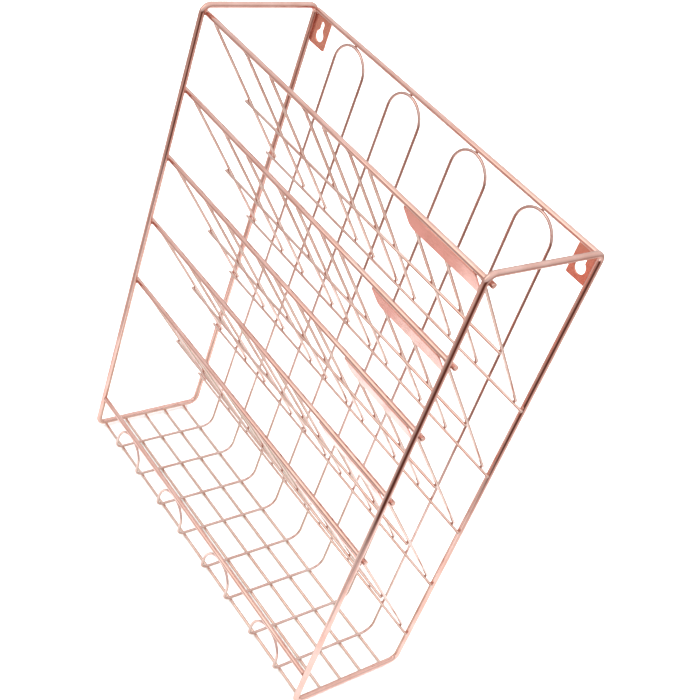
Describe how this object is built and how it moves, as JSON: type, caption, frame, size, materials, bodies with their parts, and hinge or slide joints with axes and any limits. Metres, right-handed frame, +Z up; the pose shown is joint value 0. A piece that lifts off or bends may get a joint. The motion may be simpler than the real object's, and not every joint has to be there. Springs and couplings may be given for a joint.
{
  "type": "wall magazine rack",
  "caption": "Wall magazine rack of welded wire with sloping pockets, a bottom tray with a looped lip, label plates and keyhole plates, plated rose gold.",
  "frame": {"origin": "middle of the base, on the surface that the rack stands on", "axes": "+X along the rack to the viewer's right, +Y from the open front to the wall, +Z up"},
  "size_m": [0.338, 0.1102, 0.4255],
  "materials": {
    "frame_wire": "bright rose-gold plating on round steel wire",
    "rail_wire": "bright rose-gold plating on round steel wire",
    "grid_wire": "bright rose-gold plating on thin steel wire",
    "loop_wire": "bright rose-gold plating on thin steel wire",
    "label_sheet": "satin rose-gold plating on thin steel sheet",
    "hanger_sheet": "bright rose-gold plating on stamped steel sheet"
  },
  "bodies": {
    "root": {"side_frame_left": "frame_wire", "side_frame_right": "frame_wire", "front_rail_1": "rail_wire", "front_rail_2": "rail_wire", "front_rail_3": "rail_wire", "front_rail_4": "rail_wire", "front_rail_5": "rail_wire", "lip_rail": "rail_wire", "back_top_rail": "rail_wire", "hairpin_1_1": "grid_wire", "hairpin_1_2": "grid_wire", "hairpin_1_3": "grid_wire", "hairpin_1_4": "grid_wire", "hairpin_1_5": "grid_wire", "middle_wire_1": "grid_wire", "back_wire_1": "grid_wire", "label_plate_1": "label_sheet", "hairpin_2_1": "grid_wire", "hairpin_2_2": "grid_wire", "hairpin_2_3": "grid_wire", "hairpin_2_4": "grid_wire", "hairpin_2_5": "grid_wire", "middle_wire_2": "grid_wire", "back_wire_2": "grid_wire", "label_plate_2": "label_sheet", "hairpin_3_1": "grid_wire", "hairpin_3_2": "grid_wire", "hairpin_3_3": "grid_wire", "hairpin_3_4": "grid_wire", "hairpin_3_5": "grid_wire", "middle_wire_3": "grid_wire", "back_wire_3": "grid_wire", "label_plate_3": "label_sheet", "hairpin_4_1": "grid_wire", "hairpin_4_2": "grid_wire", "hairpin_4_3": "grid_wire", "hairpin_4_4": "grid_wire", "hairpin_4_5": "grid_wire", "middle_wire_4": "grid_wire", "back_wire_4": "grid_wire", "label_plate_4": "label_sheet", "hairpin_5_1": "grid_wire", "hairpin_5_2": "grid_wire", "hairpin_5_3": "grid_wire", "hairpin_5_4": "grid_wire", "hairpin_5_5": "grid_wire", "middle_wire_5": "grid_wire", "back_wire_5": "grid_wire", "label_plate_5": "label_sheet", "back_loop_1": "loop_wire", "back_loop_2": "loop_wire", "back_loop_3": "loop_wire", "back_loop_4": "loop_wire", "tray_wire_1": "grid_wire", "tray_wire_2": "grid_wire", "tray_wire_3": "grid_wire", "tray_wire_4": "grid_wire", "tray_wire_5": "grid_wire", "hanger_plate_left": "hanger_sheet", "hanger_plate_right": "hanger_sheet"}
  },
  "joints": []
}
